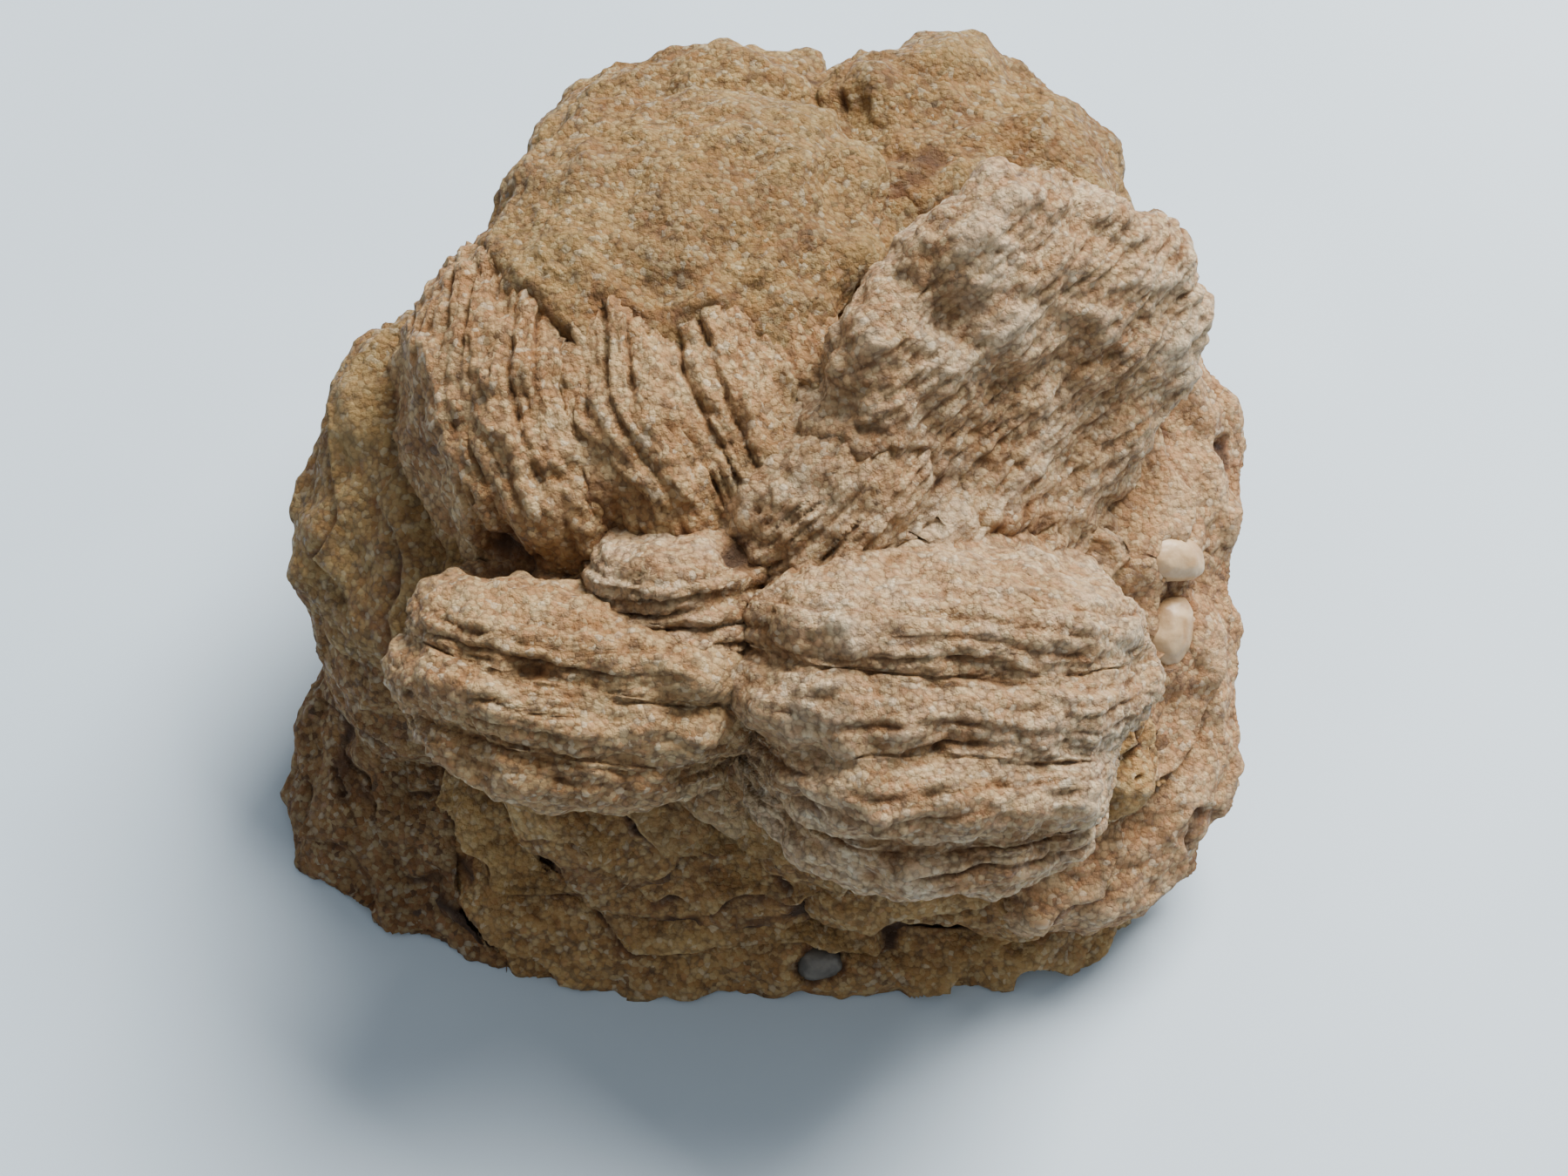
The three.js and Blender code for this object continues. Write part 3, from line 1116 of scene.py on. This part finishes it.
def marked(points: np.ndarray) -> ArrayPair:
    """Work out the rosette's own hollows and knobs.

    Args:
        points: Places on the surface, in millimetres.

    Returns:
        How far each point moves outwards, and how hollow the surface is there.
    """
    rise = np.zeros(len(points), np.float32)
    hollow = np.zeros(len(points), np.float32)
    uneven = 1 + 0.35 * NOISE.smooth(points + 200, 1.5)
    for mark in MARKS:
        middle = box_middle(mark.node) + mark.at
        away = np.linalg.norm((points - middle) / mark.size, axis=1) * uneven
        inside = fade(away, 1.3, 0.2)
        rise += mark.rise * inside
        # a hollow mark adds to the rust and to the painted shade
        hollow += mark.rust_and_shade * inside * (mark.rise < 0)
    return rise, hollow


def in_millimetres(solids: list[Object]) -> bmesh.types.BMesh:
    """Copy solids, which are in metres, into one working mesh in millimetres.

    Args:
        solids: The solids.

    Returns:
        The working mesh, for the caller to free.
    """
    work = bmesh.new()
    for solid in solids:
        work.from_mesh(solid.data)
    bmesh.ops.scale(work, vec=Vector((1, 1, 1)) / MM, verts=work.verts)
    return work


def nearest_neighbour(
    frame: dict, node: str, points: np.ndarray, normals: np.ndarray, reach: float
) -> ArrayPair:
    """Find how near each point of a blade is to the other blades.

    Args:
        frame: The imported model.
        node: The blade.
        points: Places on its surface, in millimetres.
        normals: The way that the surface faces at each point.
        reach: The farthest that matters, in millimetres.

    Returns:
        The distance, at most the reach, and how much the neighbour rises in front of the
        surface: 1 right in front of it, 0 level with it.
    """
    work = in_millimetres([solid for name, solid in frame["nodes"].items() if name != node])
    tree = BVHTree.FromBMesh(work)
    work.free()
    distance = np.full(len(points), reach, np.float32)
    rises = np.zeros(len(points), np.float32)
    for i, point in enumerate(points):
        place = Vector(point)
        found, _, _, away = tree.find_nearest(place, reach)
        if found is not None:
            distance[i] = away
            rises[i] = Vector(normals[i]).dot(found - place) / max(away, 1e-6)
    return distance, rises


def fine_copy(solid: Object, voxel: float, smoothing: int) -> Mesh:
    """Copy a solid as an even, fine mesh in millimetres.

    Args:
        solid: The solid, in metres.
        voxel: The width of a facet, in millimetres.
        smoothing: Passes of smoothing.

    Returns:
        The fine mesh, in millimetres.
    """
    work = in_millimetres([solid])
    bmesh.ops.remove_doubles(work, verts=work.verts, dist=0.001)
    rough = bpy.data.meshes.new("rough")
    work.to_mesh(rough)
    work.free()
    block = bpy.data.objects.new("block", rough)
    bpy.context.scene.collection.objects.link(block)
    remesh = block.modifiers.new("even", "REMESH")
    remesh.mode = "VOXEL"
    remesh.voxel_size = voxel
    smooth = block.modifiers.new("round", "SMOOTH")
    smooth.factor = 0.5
    smooth.iterations = smoothing
    shaped = block.evaluated_get(bpy.context.evaluated_depsgraph_get())
    fine = bpy.data.meshes.new_from_object(shaped)
    bpy.data.objects.remove(block)
    bpy.data.meshes.remove(rough)
    return fine


def surface_of(mesh: Mesh) -> ArrayPair:
    """Read a mesh's points and the way that it faces at each.

    Args:
        mesh: The mesh.

    Returns:
        The points and the normals, as rows.
    """
    count = len(mesh.vertices)
    points = np.zeros(count * 3, np.float32)
    normals = np.zeros(count * 3, np.float32)
    mesh.vertices.foreach_get("co", points)
    mesh.vertex_normals.foreach_get("vector", normals)
    return points.reshape(-1, 3), normals.reshape(-1, 3)


def store(mesh: Mesh, surface: Surface, values: np.ndarray) -> None:
    """Store a number or a place for each point, for the material to read.

    Args:
        mesh: The mesh.
        surface: What it is.
        values: The numbers, or the places as rows.
    """
    kind, slot = ("FLOAT", "value") if values.ndim == 1 else ("FLOAT_VECTOR", "vector")
    attribute = mesh.attributes.new(surface.value, kind, "POINT")
    attribute.data.foreach_set(slot, values.astype(np.float32).ravel())


def finished_piece(name: str, mesh: Mesh) -> Object:
    """Make a finished mesh an object at the origin, smoothly shaded.

    Args:
        name: The piece's name.
        mesh: The mesh, in metres.

    Returns:
        The object.
    """
    mesh.name = name
    mesh.shade_smooth()
    piece = bpy.data.objects.new(name, mesh)
    bpy.context.scene.collection.objects.link(piece)
    LOG.info("%s: %d faces", name, len(mesh.polygons))
    return piece


def dress(piece: Object, finish: SandyBaryte | WornPebble, node: str) -> None:
    """Give a piece its material, and put it in the place of its solid.

    Args:
        piece: The piece.
        finish: Its finish.
        node: The solid that it stands for.
    """
    piece.data.materials.clear()
    piece.data.materials.append(finish.material())
    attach(piece, BODY)
    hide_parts(node)


# ---------------------------------------------------------------------------
# The rosette
# ---------------------------------------------------------------------------


@dataclass
class Rosette:
    """The whole rose: its open face, the plates round it, its hidden side and its stones."""

    face: list[Blade] = field(
        default_factory=lambda: [
            Blade("crest_blade", Habit.CREST, PALE_SAND, Bedding((-0.55, 0.7, 0.45)), weld=1.6),
            Blade("crest_foot", Habit.RIB, PALE_SAND, Bedding((-0.68, 0.6, 0.35)), weld=0.8),
            Blade("crest_root", Habit.CREST, PALE_SAND, Bedding((-0.55, 0.7, 0.45)), weld=1.6),
            Blade("right_fan", Habit.BOOK, PALE_SAND, Bedding((0.05, 0.85, 0.3), 15), growth=0.7),
            Blade("left_tongue", Habit.BOOK, BEIGE_SAND, Bedding((0.15, 0.92, 0.3), 20), growth=0.5),
            Blade("middle_bridge", Habit.LEAF, PALE_SAND, Bedding((0, 0.93, 0.25)), weld=0.5),
            Blade("right_ribs", Habit.RIB, BEIGE_SAND, Bedding((-0.9, -0.3, 0.2), 16, 1.6), weld=1.3),
            Blade("left_ribs", Habit.RIB, BEIGE_SAND, Bedding((-0.93, -0.22, 0.35), 16, 2.1)),
            Blade("shoulder_blade", Habit.HUMP, HONEY_SAND, weld=1.3, weld_reach=3.5),
            Blade("seam_blade", Habit.PLATE, BEIGE_SAND, voxel=0.35),
            Blade("valley_blade", Habit.PLATE, BEIGE_SAND, voxel=0.35),
        ]
    )
    plates: list[Blade] = field(
        default_factory=lambda: [
            Blade("upper_left_plate", Habit.HUMP, HONEY_SAND, weld=1.8, weld_reach=4),
            Blade("upper_right_plate", Habit.HUMP, HONEY_SAND, weld=1.8, weld_reach=4),
            Blade("upper_right_ledge", Habit.HUMP, HONEY_SAND),
            Blade("left_plate", Habit.PLATE, GOLDEN_SAND),
            Blade("left_lower_plate", Habit.PLATE, SHADED_BROWN_SAND),
            Blade("left_upper_plate", Habit.PLATE, GOLDEN_SAND),
            Blade("front_flake_upper", Habit.FLAKE, SHADED_TAWNY_SAND, growth=0.9, weld=0.1, crease_shade=0.6),
            Blade("front_flake_lower", Habit.FLAKE, SHADED_TAWNY_SAND, growth=0.5, weld=0.1, crease_shade=0.8),
            Blade("fan_ledge", Habit.FLAKE, SHADED_TAWNY_SAND, growth=0.4, weld=0.1, crease_shade=0.8),
            Blade("fan_lower_ledge", Habit.FLAKE, SHADED_TAWNY_SAND, growth=0.4, weld=0.1, crease_shade=0.8),
            Blade("front_plate", Habit.FLAKE, SHADED_TAWNY_SAND, weld=0.1, crease_shade=0.8),
            Blade("lower_left_plate", Habit.PLATE, SHADED_BROWN_SAND, growth=0.0, weld=0.1, crease_shade=0.6),
            Blade("right_plate", Habit.PLATE, PEACH_SAND),
            Blade("right_upper_plate", Habit.PLATE, PEACH_SAND),
        ]
    )
    hidden: list[Blade] = field(
        default_factory=lambda: [
            Blade(node, Habit.PLATE, GOLDEN_SAND, voxel=0.35)
            for node in (
                "back_plate",
                "back_left_plate",
                "back_right_plate",
                "back_left_foot",
                "back_right_foot",
                "left_side_plate",
                "right_side_plate",
                "under_plate",
            )
        ]
    )
    stones: list[Inclusion] = field(
        default_factory=lambda: [
            Inclusion("white_pebble_pointed", WHITE_QUARTZ, "white_quartz"),
            Inclusion("white_pebble_round", WHITE_QUARTZ, "white_quartz"),
            Inclusion("white_quartz_grain", WHITE_QUARTZ, "white_quartz", voxel=0.06),
            Inclusion("grey_chert_chip", GREY_CHERT, "grey_chert", voxel=0.08),
            Inclusion("grey_chert_grain", GREY_CHERT, "grey_chert", voxel=0.06),
        ]
    )

    def build(self, frame: dict) -> None:
        """Build every piece of the rose.

        Args:
            frame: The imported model.
        """
        for piece in (*self.face, *self.plates, *self.hidden, *self.stones):
            piece.build(frame)

    def dress(self) -> None:
        """Give every piece its finish."""
        for piece in (*self.face, *self.plates, *self.hidden, *self.stones):
            piece.dress()


# ---------------------------------------------------------------------------
# The setting
# ---------------------------------------------------------------------------


@dataclass
class Tabletop:
    """The plain pale surface that the rose rests on."""

    half_width: float = 1.5  # m

    def build(self) -> None:
        """Lay the tabletop just under the rose."""
        work = bmesh.new()
        bmesh.ops.create_grid(work, x_segments=1, y_segments=1, size=self.half_width)
        mesh = bpy.data.meshes.new("tabletop")
        work.to_mesh(mesh)
        work.free()
        top = bpy.data.objects.new("tabletop", mesh)
        bpy.context.scene.collection.objects.link(top)
        mesh.materials.append(PaintedTabletop().material())
        top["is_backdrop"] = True
        LOG.info("tabletop laid")


@dataclass
class Daylight:
    """Soft window light from behind and above, with a pale room round it."""

    window_place: tuple[float, float, float] = (0.25, 0.31, 0.5)  # m from the rose
    window_size: float = 0.35
    window_watts: float = 12.0
    room_strength: float = 0.5

    def build(self) -> None:
        """Hang the window light and light the room."""
        lamp = bpy.data.lights.new("window", "AREA")
        lamp.shape = "SQUARE"
        lamp.size = self.window_size
        lamp.energy = self.window_watts
        lamp.color = linear("FFF9F0")[:3]
        window = bpy.data.objects.new("window", lamp)
        bpy.context.scene.collection.objects.link(window)
        place = Vector(self.window_place)
        facing = (-place).to_track_quat("-Z", "Y")
        window.matrix_world = Matrix.Translation(place) @ facing.to_matrix().to_4x4()
        world = bpy.data.worlds.new("room")
        tree = emptied(world)
        background = add_node(
            tree,
            "ShaderNodeBackground",
            inputs={"Color": linear("EEF0F2"), "Strength": self.room_strength},
        )
        add_node(tree, "ShaderNodeOutputWorld", inputs={"Surface": background.outputs["Background"]})
        bpy.context.scene.world = world
        LOG.info("daylight set")


@dataclass
class Viewpoint:
    """The camera, looking square at the rosette's open face."""

    distance: float = 190 * MM
    aim: tuple[float, float, float] = (1.65 * MM, -8.56 * MM, -1.11 * MM)  # from the box's middle
    view_width: float = 96.8 * MM  # what the frame spans at the aim point
    sensor: float = 36.0

    def build(self, low: Vector, high: Vector) -> None:
        """Place the camera.

        Args:
            low: The lowest corner of the rose's box.
            high: Its highest corner.
        """
        camera = bpy.data.cameras.new("camera")
        camera.sensor_width = self.sensor
        camera.lens = self.sensor * self.distance / self.view_width
        camera.clip_start = 0.01
        holder = bpy.data.objects.new("camera", camera)
        bpy.context.scene.collection.objects.link(holder)
        aim = (low + high) / 2 + Vector(self.aim)
        turn = Matrix.Rotation(FACE_TILT, 4, "X")
        back = turn @ Vector((0, 0, self.distance))
        holder.matrix_world = Matrix.Translation(aim + back) @ turn
        bpy.context.scene.camera = holder
        LOG.info("camera %s", tuple(round(x, 4) for x in aim + back))


def main() -> None:
    """Build the rose and its setting."""
    logging.basicConfig(level=logging.INFO, format="%(name)s %(message)s")
    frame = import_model()
    solid_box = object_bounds()
    rosette = Rosette()
    rosette.build(frame)
    rosette.dress()
    Tabletop().build()
    Daylight().build()
    Viewpoint().build(*solid_box)


if __name__ == "__main__":
    main()
